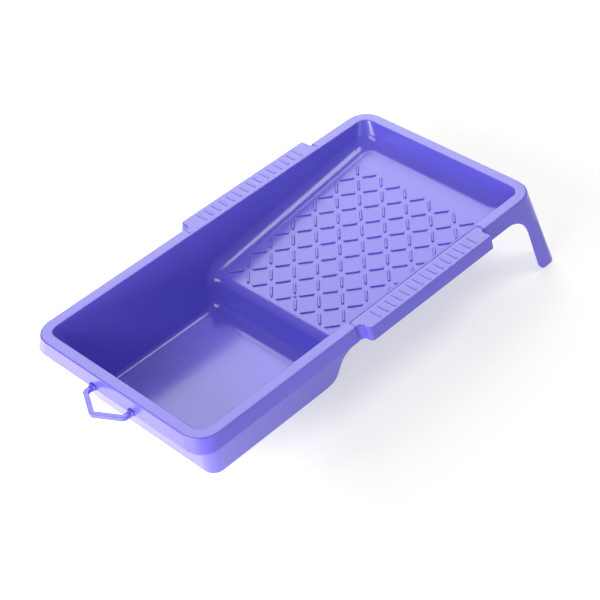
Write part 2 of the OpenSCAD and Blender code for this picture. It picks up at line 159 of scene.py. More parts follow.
def spread(path, n, h, turn, extra=None):
    """n + 1 places along a polyline, as fractional point numbers, closer together where it bends."""
    d = np.diff(path, axis=0)
    ds = np.linalg.norm(d, axis=1)
    a = unit(d)
    bend = np.zeros(len(ds))
    bend[1:] = np.arccos(np.clip((a[1:] * a[:-1]).sum(1), -1, 1))
    bend = np.convolve(np.pad(bend, 2, mode="edge"), np.ones(5) / 5, "valid")
    m = ds / h + bend / math.radians(turn)
    if extra is not None:
        m = m + extra(0.5 * (path[1:] + path[:-1])) * ds
    m = np.concatenate([[0], np.cumsum(m)])
    return np.interp(np.linspace(0, m[-1], n + 1), m, np.arange(len(m)))


def at(path, place):
    """Points of a polyline at fractional point numbers."""
    i = np.clip(place.astype(int), 0, len(path) - 2)
    t = (place - i)[:, None]
    return path[i] * (1 - t) + path[i + 1] * t


# ---------------------------------------------------- the two skins of the tub
# Steps across one half of the tub, and rays that look for the skin
HALF, RAYS_DOWN, RAYS_ALONG = 44, 170, 130


def skin(ys, top, g):
    """Grid of points on tub = g, one row for each y, from x < 0 to x > 0, with its rim at z = top."""
    rows, inner = len(ys), ys[1:-1]
    n, rays = len(inner), RAYS_DOWN + RAYS_ALONG

    def f(x, y, z):
        return tub(np.stack([x, y, z], -1))[0] - g

    # Rays from the middle of the mouth, first towards the side and then along the floor, meet the skin
    zt = np.full(n, top)
    xw = bisect(lambda x: f(x, inner, zt), np.zeros(n), np.full(n, 90.0))
    depth = bisect(lambda d: f(np.zeros(n), inner, zt - d), np.zeros(n), np.full(n, 70.0))
    down, along = np.linspace(0, 1, RAYS_DOWN), np.linspace(0, 1, RAYS_ALONG + 1)[1:]
    tx = np.concatenate([np.outer(xw, np.ones(RAYS_DOWN)), np.outer(xw, 1 - along)], 1)
    tz = -np.concatenate([np.outer(depth, down), np.outer(depth, np.ones(RAYS_ALONG))], 1)
    yy = np.repeat(inner, rays)
    fx, fz = tx.ravel(), tz.ravel()
    s = bisect(lambda k: f(fx * k, yy, top + fz * k), np.zeros(n * rays), np.full(n * rays, 1.3))
    px, pz = (fx * s).reshape(n, rays), (top + fz * s).reshape(n, rays)
    grid = np.zeros((rows, HALF + 1, 3))
    for j in range(n):
        path = np.stack([px[j], pz[j]], -1)
        q = at(path, spread(path, HALF, 4.2, 9))
        grid[j + 1, :, 0], grid[j + 1, :, 1], grid[j + 1, :, 2] = q[:, 0], inner[j], q[:, 1]
    grid[1:-1, 1:-1] = settle(grid[1:-1, 1:-1].reshape(-1, 3), g).reshape(n, HALF - 1, 3)
    for j, near in ((0, 1), (rows - 1, rows - 2)):
        flat = corner_start(ys[j], top, g)
        grid[j, :, 0] = grid[near, :, 0] * flat / grid[near, 0, 0]
        grid[j, :, 1], grid[j, :, 2] = ys[j], top
    left = grid * [-1, 1, 1]
    return np.concatenate([left, grid[:, -2::-1]], 1)


def settle(body, g, h=0.01):
    """Moves points that are close to tub = g onto it, each within its own row."""
    for _ in range(4):
        v = tub(body)[0] - g
        gx = (tub(body + [h, 0, 0])[0] - tub(body - [h, 0, 0])[0]) / (2 * h)
        gz = (tub(body + [0, 0, h])[0] - tub(body - [0, 0, h])[0]) / (2 * h)
        k = v / np.maximum(gx * gx + gz * gz, 1e-6)
        body = body - np.stack([gx * k, 0 * k, gz * k], -1)
    return body


def corner_start(y, top, g):
    """How far from the middle the straight front or back edge of the skin ends."""
    x = np.linspace(30, 70, 4001)
    v = tub(np.stack([x, x * 0 + y, x * 0 + top], -1))[0] - g
    return x[np.argmax(v > 2e-5)]


def wall_y(z, g, front):
    """The y of the front or rear wall at height z, g outwards from the inner face."""
    if front:
        return FLANGE - FY * z - g * math.sqrt(1 + FY * FY)
    return RIM_L - FLANGE + RY * z + g * math.sqrt(1 + RY * RY)


def rows_between(first, last):
    """The y of each row, closer together where the tub or the rim bends."""
    # Each stop is (y, how many rows reach it from the stop before)
    stops = [(first, 0), (30, 44), (112, 30), (125.4, 18), (127.8, 9), (PART_Y, 16), (150, 8),
             (232, 30), (242.4, 10), (245.4, 12), (268, 18), (last, 40)]
    out = [first]
    for (a, _), (b, n) in zip(stops, stops[1:]):
        out += list(np.linspace(a, b, n + 1)[1:])
    return np.array(out)


# Heights where the inside and the outside of the tub meet the section round the mouth
TOP_IN, TOP_OUT = -0.76 * EDGE_R, -WALL - 1.0
ys_in = rows_between(wall_y(TOP_IN, 0, True), wall_y(TOP_IN, 0, False))
ys_out = rows_between(wall_y(TOP_OUT, WALL, True), wall_y(TOP_OUT, WALL, False))
inside, outside = skin(ys_in, TOP_IN, 0.0), skin(ys_out, TOP_OUT, WALL)
ROWS, COLS = inside.shape[:2]
PART_ROW = int(np.argmin(abs(ys_in - PART_Y)))

# ------------------------------------------------- the loop of points round it
loop = [(0, i) for i in range(COLS)]
loop += [(j, COLS - 1) for j in range(1, ROWS)]
loop += [(ROWS - 1, i) for i in range(COLS - 2, -1, -1)]
loop += [(j, 0) for j in range(ROWS - 2, 0, -1)]
loop = np.array(loop)
RING = len(loop)
rim_in, rim_out = inside[loop[:, 0], loop[:, 1]], outside[loop[:, 0], loop[:, 1]]
n_in, n_out = tub_normal(rim_in), tub_normal(rim_out)
flat_in = unit(n_in * [1, 1, 0])
flat_out = unit(n_out * [1, 1, 0])
# Which side each loop point is on, -1 for x < 0
SG = np.where(rim_in[:, 0] < -1e-9, -1.0, 1.0)


def sigma_of():
    """Place of each loop point round one half of the rim.

    0 is the front middle, 1 to 2 the front corner, 3 to 4 the rear corner and 5 the rear middle.
    """
    th = np.degrees(np.arctan2(flat_in[:, 1], abs(flat_in[:, 0])))
    x, y = abs(rim_in[:, 0]), rim_in[:, 1]
    x0 = x[(loop[:, 0] == 0)].max()
    x1 = x[(loop[:, 0] == ROWS - 1)].max()
    s = 2 + np.clip((y - FLANGE - MOUTH_R) / (RIM_L - 2 * FLANGE - 2 * MOUTH_R), 0, 1)
    s = np.where((th < -0.05) & (y < 100), 2 + th / 90, s)
    s = np.where((th > 0.05) & (y > 200), 3 + th / 90, s)
    s = np.where(loop[:, 0] == 0, x / x0, s)
    s = np.where(loop[:, 0] == ROWS - 1, 5 - x / x1, s)
    return s


SIGMA = sigma_of()


def outline(k):
    """Right edge, front edge, rear edge and corner radius of the rim's leaning outside at depth k."""
    return RIM_X + LX * k, -LY * k, RIM_L + LY * k, RIM_R - (RIM_R - FOOT_R) / TRAY_H * k


def hull(s, k):
    """Point of the rim's leaning outside at place s and depth k, for x > 0."""
    s, k = np.broadcast_arrays(np.asarray(s, float), np.asarray(k, float))
    x, y0, y1, r = outline(k)
    a = np.radians(90 * np.where(s < 2.5, np.clip(s, 1, 2) - 2, np.clip(s, 3, 4) - 3))
    bend = x - r + r * np.cos(a)
    straight = y0 + r + (s - 2) * (y1 - y0 - 2 * r)
    where = [s <= 1, s <= 2, s <= 3, s <= 4]
    px = np.select(where, [s * (x - r), bend, x, bend], (5 - s) * (x - r))
    py = np.select(where, [y0, y0 + r + r * np.sin(a), straight, y1 - r + r * np.sin(a)], y1)
    return np.stack([px, py, -k], -1)


def place_of(face, v, k):
    """Place of the point at y = v on the side, or at x = v on the rear, at depth k."""
    x, y0, y1, r = outline(k)
    if face == "side":
        return 2 + (v - y0 - r) / (y1 - y0 - 2 * r)
    return 5 - v / (x - r)


def hull_normal(s, k):
    """Outward normal of the rim's leaning outside at place s and depth k, for x > 0."""
    e = 1e-3
    a = hull(s + e, k) - hull(s - e, k)
    b = hull(s, k + e) - hull(s, np.asarray(k) - e)
    n = unit(np.cross(a, b))
    out = hull(s, k) - [0, RIM_L / 2, 0]
    return np.where((n[:, :2] * out[:, :2]).sum(1, keepdims=True) < 0, -n, n)


# ------------------------------------------------------ the lower edge of legs
def corner_arc(p, a, b, r, n=40):
    """Points of the arc of radius r in the corner p between the directions a and b."""
    a, b = unit(np.array(a, float)), unit(np.array(b, float))
    half = math.acos(np.clip(a @ b, -1, 1)) / 2
    t = r / math.tan(half)
    c = np.array(p) + unit(a + b) * r / math.sin(half)
    p0, p1 = np.array(p) + a * t - c, np.array(p) + b * t - c
    w = 2 * (math.pi / 2 - half)
    f = np.linspace(0, 1, n)[:, None]
    return c + (np.sin((1 - f) * w) * p0 + np.sin(f * w) * p1) / math.sin(w)


def leg_side(far, edge, lean):
    """Lower edge of the skirt from far on, then arch, edge and toe of a leg, as (place, depth) in mm."""
    slant = math.tan(math.radians(lean))
    d = unit(np.array([slant, 1.0]))
    top = np.array([edge, REAR_SKIRT])
    foot = np.array([edge + slant * (TRAY_H - REAR_SKIRT), TRAY_H])
    arch = corner_arc(top, (-1, 0), d, ARCH_R)
    toe = corner_arc(foot, -d, (1, 0), TOE_R, 24)
    skirt = np.linspace([far, REAR_SKIRT], arch[0], LEG_START)[:-1]
    line = np.linspace(arch[-1], toe[0], 60)[1:-1]
    return np.concatenate([skirt, arch, line, toe])


def leg_outline():
    """Lower edge of the skirt and the leg round a rear corner, as (place, depth)."""
    side = leg_side(LEG_Y0, RIM_L - LEG_IN[1], LEG_LEAN[1])
    rear = leg_side(LEG_X0, RIM_X - LEG_IN[0], LEG_LEAN[0])
    s_side, s_rear = place_of("side", *side.T), place_of("rear", *rear.T)
    sole = [np.linspace(s_side[-1], 3, 12)[1:], np.linspace(3, 4, 40)[1:]]
    sole.append(np.linspace(4, s_rear[-1], 12)[1:-1])
    s = np.concatenate([s_side] + sole + [s_rear[::-1]])
    floor = np.full(len(s) - len(side) - len(rear), TRAY_H)
    return np.stack([s, np.concatenate([side[:, 1], floor, rear[::-1, 1]])], -1)


# Where the path down a leg starts on the side and on the rear, and its points before the arch
LEG_Y0, LEG_X0, LEG_START = 246.0, 24.0, 60
leg_path = leg_outline()


# ------------------------------------------------------------- the grip tabs
def tab_end(start, a, ra, b, rb, stop):
    """Plan of one end of a tab, from start to stop past the corners a and b, rounded to ra and rb."""
    start, a, b, stop = (np.array(p, float) for p in (start, a, b, stop))
    one, two = corner_arc(a, start - a, b - a, ra), corner_arc(b, a - b, stop - b, rb)
    before, after = np.linspace(start, one[0], 60)[:-1], np.linspace(two[-1], stop, 40)[1:]
    return np.concatenate([before, one, np.linspace(one[-1], two[0], 20)[1:-1], two, after])


tab_front = tab_end((RIM_X, FRONT_SPAN[0]), (RIM_X, TAB_Y0 - 1.5), 3.0,
                    (TAB_X, TAB_Y0), 2.5, (TAB_X, FRONT_SPAN[1]))
tab_back = tab_end((TAB_X, BACK_SPAN[0]), (TAB_X, TAB_Y1 - 0.75), 1.2,
                   (RIM_X, TAB_Y1), 1.0, (RIM_X, BACK_SPAN[1]))
on_side = (loop[:, 1] == COLS - 1) | (loop[:, 1] == 0)
y_ring = rim_in[:, 1]


def on_path(path, lo, hi, width, line):
    """Points of path for the loop points from y = lo to hi, denser about y = line on the rim's own edge."""
    ys = ys_in[(ys_in >= lo - 1e-6) & (ys_in <= hi + 1e-6)]

    def extra(p):
        return 5.0 * np.exp(-((p[:, 1] - line) / 0.5) ** 2) * (p[:, 0] < RIM_X + 1)

    return ys, at(path, spread(path, len(ys) - 1, width, 16, extra))


def outer_edge():
    """Plan (x, y) of the rim's outer edge for every loop point, for x > 0, before it leans."""
    e = hull(SIGMA, 0 * SIGMA)[:, :2].copy()
    m = on_side & (y_ring > FRONT_SPAN[1]) & (y_ring < BACK_SPAN[0])
    e[m] = np.stack([np.full(m.sum(), TAB_X), y_ring[m]], -1)
    for path, (lo, hi), line in ((tab_front, FRONT_SPAN, PANEL_Y0), (tab_back, BACK_SPAN, PANEL_Y1)):
        ys, q = on_path(path, lo, hi, 1.2, line)
        m = on_side & (y_ring >= lo - 1e-6) & (y_ring <= hi + 1e-6)
        e[m] = np.stack([np.interp(y_ring[m], ys, q[:, 0]), np.interp(y_ring[m], ys, q[:, 1])], -1)
    return e


def panel_mask(x, y):
    """1 on the sunk panel and 0 off it, with a soft edge."""
    r, e, half = 2.0, 0.22, 50
    cx, hx = PANEL_X + half, half - r
    cy, hy = (PANEL_Y0 + PANEL_Y1) / 2, (PANEL_Y1 - PANEL_Y0) / 2 - r
    qx, qy = abs(abs(x) - cx) - hx, abs(y - cy) - hy
    d = np.hypot(np.maximum(qx, 0), np.maximum(qy, 0)) + np.minimum(np.maximum(qx, qy), 0) - r
    return smooth(0.5 - d / (2 * e))


EDGE = outer_edge()
in_tab = on_side & (y_ring >= FRONT_SPAN[0]) & (y_ring <= BACK_SPAN[1])


def edge_normal():
    """Outward plan normal of the outer edge at every loop point, for x > 0."""
    full = EDGE * np.stack([SG, np.ones(RING)], -1)
    d = np.roll(full, -1, 0) - np.roll(full, 1, 0)
    n = unit(np.stack([d[:, 1], -d[:, 0]], -1))
    n = n * np.stack([SG, np.ones(RING)], -1)
    e = hull(SIGMA, 0 * SIGMA)
    c = unit(hull_normal(SIGMA, 0 * SIGMA + 0.01)[:, :2])
    return np.where(in_tab[:, None], n, c)


EDGE_N = edge_normal()


def leg_columns(side_sign, last):
    """Loop points whose skirt may run down a leg on one side, in order from the side to the rear."""
    first = place_of("side", BACK_SPAN[1] + 0.5, 0)
    sel = np.where((SG == side_sign) & (SIGMA > first) & (SIGMA < last))[0]
    return sel[np.argsort(SIGMA[sel])]


def bottom():
    """Place and depth of the lower edge of the skirt for every loop point."""
    s, k = SIGMA.copy(), np.where(SIGMA < 2.5, SKIRT, REAR_SKIRT)
    out = smooth((EDGE[:, 0] - RIM_X) / 2.5)
    k = np.where(in_tab, k + (TAB_H - k) * out, k)
    leg_s = leg_path[:, 0]
    index = np.arange(float(LEG_START))
    for side_sign in (-1, 1):
        sel = leg_columns(side_sign, place_of("rear", LEG_X0, REAR_SKIRT))
        first = np.interp(SIGMA[sel[0]], leg_s[:LEG_START], index)
        last = len(leg_s) - 1 - np.interp(-SIGMA[sel[-1]], -leg_s[::-1][:LEG_START], index)
        path = at(leg_path, np.linspace(first, last, 1200))
        q = at(path, spread(hull(*path.T), len(sel) - 1, 2.4, 14))
        s[sel], k[sel] = q[:, 0], q[:, 1]
    return s, k


BOT_S, BOT_K = bottom()


def corner_run(s, k, back=False):
    """Length from where a side meets its rear corner to place s at depth k, or the reverse."""
    x, y0, y1, r = outline(k)
    side = y1 - y0 - 2 * r
    bend, end = r * math.pi / 2, x - r
    if back:
        return np.select([s < 0, s < bend], [3 + s / side, 3 + s / bend], 4 + (s - bend) / end)
    return np.select([s < 3, s < 4], [(s - 3) * side, (s - 3) * bend], bend + (s - 4) * end)


# Rows down the skirt, passes that even them out, room for the rounded lip, and where the legs' rows end
DOWN, EVEN_STEPS, LIP_ROOM, LEG_END = 14, 1500, 0.8, 4.9


def skirt_rows(k_top):
    """Rows of (place, depth) from the rim to the lower edge, evened out over the legs so that none fold."""
    t = np.linspace(0, 1, DOWN + 1)[:, None]
    s, k = SIGMA + (BOT_S - SIGMA) * t, k_top + (BOT_K - k_top) * t
    for side_sign in (-1, 1):
        sel = leg_columns(side_sign, LEG_END)
        q = np.stack([corner_run(s[:, sel], k[:, sel]), k[:, sel]])
        along = unit(np.gradient(q[:, -1], axis=1).T).T
        q[:, -2, 1:-1] = q[:, -1, 1:-1] + LIP_ROOM * np.stack([along[1], -along[0]])[:, 1:-1]
        inner = q[:, :-1]
        # Each point moves to where Winslow's grid equations put it between its eight neighbours
        for _ in range(EVEN_STEPS):
            e, w = inner[:, 1:-1, 2:], inner[:, 1:-1, :-2]
            n, d = inner[:, :-2, 1:-1], inner[:, 2:, 1:-1]
            g, h = (e - w) / 2, (d - n) / 2
            al, be, ga = (h * h).sum(0), (g * h).sum(0), (g * g).sum(0)
            x = (inner[:, 2:, 2:] - inner[:, 2:, :-2] - inner[:, :-2, 2:] + inner[:, :-2, :-2]) / 4
            inner[:, 1:-1, 1:-1] = (al * (e + w) + ga * (n + d) - 2 * be * x) / (2 * (al + ga) + 1e-12)
        s[:, sel], k[:, sel] = corner_run(q[0], q[1], True), q[1]
    return s, k


def face(row, depth=None):
    """Outer face of skirt, tabs and legs on a row, or there at a given depth, for x > 0, with its normal."""
    s, k = ROW_S[row], ROW_K[row] if depth is None else np.full(RING, depth)
    p, n = hull(s, k), hull_normal(s, k)
    tab = np.stack([EDGE[:, 0] + LX * k, EDGE[:, 1], -k], -1)
    nx = np.stack([EDGE_N[:, 0], EDGE_N[:, 1], LX * EDGE_N[:, 0]], -1)
    return np.where(in_tab[:, None], tab, p), np.where(in_tab[:, None], unit(nx), n)


def arc(p0, mid, p2, n):
    """n inner and end points of the round that leaves p0 towards mid and ends at p2."""
    a, b = unit(mid - p0), unit(p2 - mid)
    w = np.cos(np.arccos(np.clip((a * b).sum(-1), -1, 1)) / 2)[:, None]
    out = []
    for i in range(1, n + 1):
        t = i / n
        d = (1 - t) ** 2 + 2 * w * t * (1 - t) + t * t
        out.append(((1 - t) ** 2 * p0 + 2 * w * t * (1 - t) * mid + t * t * p2) / d)
    return out


# ------------------------------------------------ the section round the mouth
# It is built for x > 0 as rings of points, one ring after another, and mirrored back by SG.
# T_FACE and T_BACK are the rings along the top of the skirt's outer face and of its inner face.
def fold(p):
    """Takes points from their own side to x > 0, and back."""
    return p * np.stack([SG, np.ones(RING), np.ones(RING)], -1)


def corner_at(p, n, flat, z):
    """Where the wall through p meets the level z, and a point on that level as far from there as p is."""
    up = unit(np.array([0, 0, 1.0]) - n[:, 2:] * n)
    reach = (z - p[:, 2:]) / up[:, 2:]
    ctrl = p + up * reach
    return ctrl, ctrl + flat * reach


def topped(p):
    """The points p put on top of the flange or on the sunk panel."""
    q = p.copy()
    q[:, 2] = -PANEL_SINK * panel_mask(p[:, 0], p[:, 1])
    return q


# From the mouth's rounded edge out along the flange, with rings close together across the panel's edge
mouth, flat = fold(rim_in), fold(flat_in)
mouth_ctrl, lip = corner_at(mouth, fold(n_in), flat, 0.0)
stations = [mouth] + arc(mouth, mouth_ctrl, lip, 4)
base = mouth_ctrl * [1, 1, 0]
stations += [topped(base + flat * (PANEL_GAP + d)) for d in (-0.5, -0.28, -0.14, 0, 0.14, 0.28, 0.5)]
inner_top = base + flat * (PANEL_GAP + 0.5)

# The flange's outer edge, drawn in by the panel's sink where the panel's line crosses the rim beside a tab
beside = in_tab & (EDGE[:, 0] < RIM_X + 3)
drawn_in = PANEL_SINK * panel_mask(np.full(RING, TAB_X), EDGE[:, 1]) * beside
EDGE = EDGE - EDGE_N * drawn_in[:, None]
sink = PANEL_SINK * panel_mask(EDGE[:, 0], EDGE[:, 1])
tab_edge = np.stack([EDGE[:, 0] + LX * sink, EDGE[:, 1], -sink], -1)
rim_edge = np.where(in_tab[:, None], tab_edge, hull(SIGMA, sink))
edge_level = np.concatenate([EDGE_N, np.zeros((RING, 1))], 1)
round_run = RIM_EDGE_R / math.tan(math.radians((90 + LEAN_X) / 2))
outer_top = rim_edge - edge_level * round_run
stations += [topped(inner_top + (outer_top - inner_top) * t) for t in (0.15, 0.4, 0.7, 1.0)]
stations[-1][:, 2] = -sink

# The rounded outer edge, which comes down the face by 0.97 of round_run, and the face down to the lip
ROW_S, ROW_K = skirt_rows(sink + round_run * 0.97)
outer = [face(i) for i in range(DOWN + 1)]
stations += arc(stations[-1], rim_edge, outer[0][0], 5)
T_FACE = len(stations) - 1
stations += [outer[i][0] for i in range(1, DOWN)]

# The lip: down_n points down the face and out of it across its lower edge
edge_p, edge_n = outer[-1]
lower = fold(edge_p)
along = unit(np.roll(lower, -1, 0) - np.roll(lower, 1, 0))
down_n = fold(unit(np.cross(along, fold(edge_n))))
down_n = np.where(down_n[:, 2:] > 0.5, -down_n, down_n)
inwards = (down_n * (edge_p - outer[-3][0])).sum(1) < 0
down_n = np.where(inwards[:, None], -down_n, down_n)
level_n = unit(edge_n * [1, 1, 0])
in_p = edge_p - level_n * WALL / (level_n * edge_n).sum(1, keepdims=True)
stations.append(edge_p - down_n * LIP_R)
stations += arc(stations[-1], edge_p, edge_p - level_n * LIP_R, 3)
stations.append(in_p + level_n * LIP_R)
stations += arc(stations[-1], in_p, in_p - down_n * LIP_R, 3)

# Up the inner face, round the inner corner and back under the flange to the outside of the tub
stations += [q - n * WALL for q, n in outer[DOWN - 1:0:-1]]
T_BACK = len(stations)
q, n = face(0, WALL + FILLET_DOWN)
stations.append(q - n * WALL)
q, n = face(0, WALL)
inner_ctrl = q - n * WALL
under_out = inner_ctrl - edge_level * FILLET_IN
stations += arc(stations[-1], inner_ctrl, under_out, 3)
tub_out = fold(rim_out)
out_ctrl, under_in = corner_at(tub_out, fold(n_out), fold(flat_out), -WALL)
stations += [under_out + (under_in - under_out) * t for t in (0.35, 0.7)]
stations.append(under_in)
stations += arc(under_in, out_ctrl, tub_out, 3)
T_ALL = len(stations)
ring = np.array([fold(s) for s in stations])

# --------------------------------------------------- one closed skin of points
N_GRID = ROWS * COLS
in_id = np.arange(N_GRID).reshape(ROWS, COLS)
ring_id = np.zeros((T_ALL, RING), int)
ring_id[0] = in_id[loop[:, 0], loop[:, 1]]
ring_id[1:-1] = np.arange((T_ALL - 2) * RING).reshape(T_ALL - 2, RING) + N_GRID
out_id = in_id + N_GRID + (T_ALL - 2) * RING
ring_id[-1] = out_id[loop[:, 0], loop[:, 1]]
points = np.concatenate([inside.reshape(-1, 3), ring[1:-1].reshape(-1, 3), outside.reshape(-1, 3)])


def grid_quads(ids, j0, j1):
    """Quads of a grid of point numbers, from its row j0 up to the row before j1."""
    a = ids[j0:j1]
    return np.stack([a[:-1, :-1], a[:-1, 1:], a[1:, 1:], a[1:, :-1]], -1).reshape(-1, 4)


def ring_quads(t0, t1, cols):
    """Quads between the rings t0 and t1, from each of the columns to the next one round."""
    nxt = (cols + 1) % RING
    a, b = ring_id[t0:t1], ring_id[t0 + 1:t1 + 1]
    return np.stack([a[:, cols], b[:, cols], b[:, nxt], a[:, nxt]], -1).reshape(-1, 4)


def strip(a, b):
    """Quads between two rows of points."""
    return np.stack([a[:-1], a[1:], b[1:], b[:-1]], -1)


def band(a, b):
    """Quads between two closed loops of points."""
    return np.stack([a, np.roll(a, -1), np.roll(b, -1), b], -1)


def across(ids):
    """Quads that close a loop of points from one half of it to the other."""
    half = len(ids) // 2
    return strip(ids[:half], ids[::-1][:half])


all_cols = np.arange(RING)
section = ring_quads(0, T_ALL - 1, all_cols)
everything = [grid_quads(in_id, 0, ROWS), section, grid_quads(out_id, 0, ROWS)[:, ::-1]]


def weighted_normals(v, quads):
    """Vertex normals in which large faces count for more, so that flat faces stay flat."""
    n = np.zeros_like(v)
    p = v[quads]
    fn = np.cross(p[:, 2] - p[:, 0], p[:, 3] - p[:, 1])
    for k in range(4):
        a, b = unit(p[:, (k + 1) % 4] - p[:, k]), unit(p[:, k - 1] - p[:, k])
        w = np.arccos(np.clip((a * b).sum(1), -1, 1))[:, None]
        np.add.at(n, quads[:, k], fn * w)
    return unit(n)


normals = weighted_normals(points, np.concatenate(everything))
normals[:N_GRID] = -tub_normal(inside.reshape(-1, 3))
normals[-N_GRID:] = tub_normal(outside.reshape(-1, 3))


def piece(name, verts, faces, soft_normals, cap_from, replaces):
    """A closed mesh object of quads, whose faces from cap_from on are flat end caps."""
    used = np.unique(faces)
    me = bpy.data.meshes.new(name)
    co = (verts[used] + ORIGIN) * MM
    me.from_pydata(co.tolist(), [], np.searchsorted(used, faces).tolist())
    me.validate()
    corners = np.empty(len(me.loops), int)
    me.loops.foreach_get("vertex_index", corners)
    shading = soft_normals[used][corners]
    for poly in me.polygons:
        poly.use_smooth = True
        if poly.index >= cap_from:
            for i in poly.loop_indices:
                shading[i] = poly.normal
    me.normals_split_custom_set([tuple(v) for v in shading])
    ob = bpy.data.objects.new(name, me)
    bpy.context.scene.collection.objects.link(ob)
    me.materials.append(PLASTIC)
    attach(ob, "root")
    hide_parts(*replaces)
    return ob


# ---------------------------------------------------------------- the plastic
def plastic():
    """Semi-gloss violet polypropylene with the faint ripple and soft mottling of a moulding."""
    m = bpy.data.materials.new("violet_plastic")
    m.use_nodes = True
    nt = m.node_tree
    b = nt.nodes["Principled BSDF"]
    new, link = nt.nodes.new, nt.links.new
    co = new("ShaderNodeTexCoord")

    def noise(scale, detail, rough):
        n = new("ShaderNodeTexNoise")
        n.inputs["Scale"].default_value = scale
        n.inputs["Detail"].default_value = detail
        n.inputs["Roughness"].default_value = rough
        link(co.outputs["Object"], n.inputs["Vector"])
        return n

    def ramp(src, stops):
        r = new("ShaderNodeValToRGB")
        link(src, r.inputs["Fac"])
        r.color_ramp.elements[0].position, r.color_ramp.elements[0].color = stops[0]
        r.color_ramp.elements[1].position, r.color_ramp.elements[1].color = stops[1]
        return r

    cloud = noise(18, 3, 0.5)
    tint = ramp(cloud.outputs["Fac"], [(0.3, (0.122, 0.102, 0.605, 1)), (0.7, (0.134, 0.112, 0.635, 1))])
    link(tint.outputs["Color"], b.inputs["Base Color"])
    grain = noise(900, 2, 0.5)
    gloss = ramp(cloud.outputs["Fac"], [(0.3, (0.17, 0.17, 0.17, 1)), (0.7, (0.21, 0.21, 0.21, 1))])
    link(gloss.outputs["Color"], b.inputs["Roughness"])
    ripple = noise(60, 2, 0.5)
    wave = new("ShaderNodeBump")
    wave.inputs["Strength"].default_value = 0.06
    wave.inputs["Distance"].default_value = 0.0006
    link(ripple.outputs["Fac"], wave.inputs["Height"])
    fine = new("ShaderNodeBump")
    fine.inputs["Strength"].default_value = 0.10
    fine.inputs["Distance"].default_value = 0.00005
    link(grain.outputs["Fac"], fine.inputs["Height"])
    link(wave.outputs["Normal"], fine.inputs["Normal"])
    link(fine.outputs["Normal"], b.inputs["Normal"])
    b.inputs["IOR"].default_value = 1.49
    b.inputs["Specular IOR Level"].default_value = 0.55
    return m


PLASTIC = plastic()

# ------------------------------------------------- the pieces of the moulding
def cols_where(mask):
    """Loop columns whose quads belong to a piece, as runs of consecutive points."""
    runs = []
    for first in np.where(mask & ~np.roll(mask, 1))[0]:
        last = first
        while mask[last % RING]:
            last += 1
        runs.append(np.arange(first, last) % RING)
    return runs


def closed(name, skins, caps, nodes):
    """A piece made of faces of the whole skin and closed by caps."""
    soft = np.concatenate(skins)
    faces = oriented(np.concatenate([soft] + caps), len(soft))
    return piece(name, points, faces, normals, len(soft), nodes)


def edges_of(quad):
    """The edges of a quad, each from its first point to its second."""
    return [(int(quad[k]), int(quad[(k + 1) % 4])) for k in range(4)]


def oriented(faces, n):
    """Turns the first n faces to agree with their vertex normals, and the caps to agree with them."""
    out = faces.copy()
    p = points[out[:n]]
    fn = np.cross(p[:, 2] - p[:, 0], p[:, 3] - p[:, 1])
    agree = (fn * normals[out[:n]].sum(1)).sum(1) > 0
    if agree.mean() < 0.5:
        out[:n] = out[:n, ::-1]
    edges = {e for q in out[:n] for e in edges_of(q)}
    todo = list(range(n, len(out)))
    while todo:
        left = []
        for f in todo:
            ahead = edges_of(out[f])
            back = [(b, a) for a, b in ahead]
            if any(e in edges for e in ahead):
                out[f] = out[f, ::-1].copy()
                edges.update(back)
            elif any(e in edges for e in back):
                edges.update(ahead)
            else:
                left.append(f)
        if len(left) == len(todo):
            break
        todo = left
    return out


def tub_piece(name, j0, j1, node):
    """Part of the tub between two rows, closed along its top and where it is parted."""
    skins = [grid_quads(in_id, j0, j1), grid_quads(out_id, j0, j1)[:, ::-1]]
    caps = [strip(in_id[j], out_id[j]) for j in (j0, j1 - 1)]
    caps += [strip(in_id[j0:j1, i], out_id[j0:j1, i]) for i in (0, COLS - 1)]
    return closed(name, skins, caps, [node])


def skirt_piece(name, mask, nodes):
    """Part of the skirt under the loop points of mask, closed along its top and where it is parted."""
    skins, caps = [], []
    for run in cols_where(mask):
        skins.append(ring_quads(T_FACE, T_BACK, run))
        end = (run[-1] + 1) % RING
        cols = np.append(run, end)
        caps.append(strip(ring_id[T_FACE][cols], ring_id[T_BACK][cols]))
        caps += [across(ring_id[T_FACE:T_BACK + 1, c]) for c in (run[0], end)]
    return closed(name, skins, caps, nodes)


tub_piece("paint_well_skin", 0, PART_ROW + 1, "paint_well")
tub_piece("ramp_deck_skin", PART_ROW, ROWS, "ramp_deck")
closed("rim_flange_skin",
       [ring_quads(0, T_FACE, all_cols), ring_quads(T_BACK, T_ALL - 1, all_cols)],
       [band(ring_id[0], ring_id[-1]), band(ring_id[T_FACE], ring_id[T_BACK])],
       ["rim_flange"])

right = SG > 0
leg_lo = place_of("side", RIM_L - LEG_IN[1] - ARCH_REACH, REAR_SKIRT)
leg_hi = place_of("rear", RIM_X - LEG_IN[0] - ARCH_REACH, REAR_SKIRT)
leg_m = (SIGMA > leg_lo) & (SIGMA < leg_hi)
front_m = SIGMA < 2
tab_m = on_side & (y_ring >= TAB_CUT_Y0) & (y_ring <= TAB_CUT_Y1)
rear_m = SIGMA >= leg_hi
side_m = ~(leg_m | front_m | tab_m | rear_m)
skirt_piece("front_skirt_skin", front_m, ["front_skirt"])
skirt_piece("rear_skirt_skin", rear_m, ["rear_skirt"])
for word, m in (("left", ~right), ("right", right)):
    skirt_piece(word + "_skirt_skin", side_m & m, [word + "_skirt"])
    skirt_piece(word + "_leg_skin", leg_m & m, [word + "_leg"])
    skirt_piece(word + "_grip_tab_skin", tab_m & m, [word + "_grip_tab"])


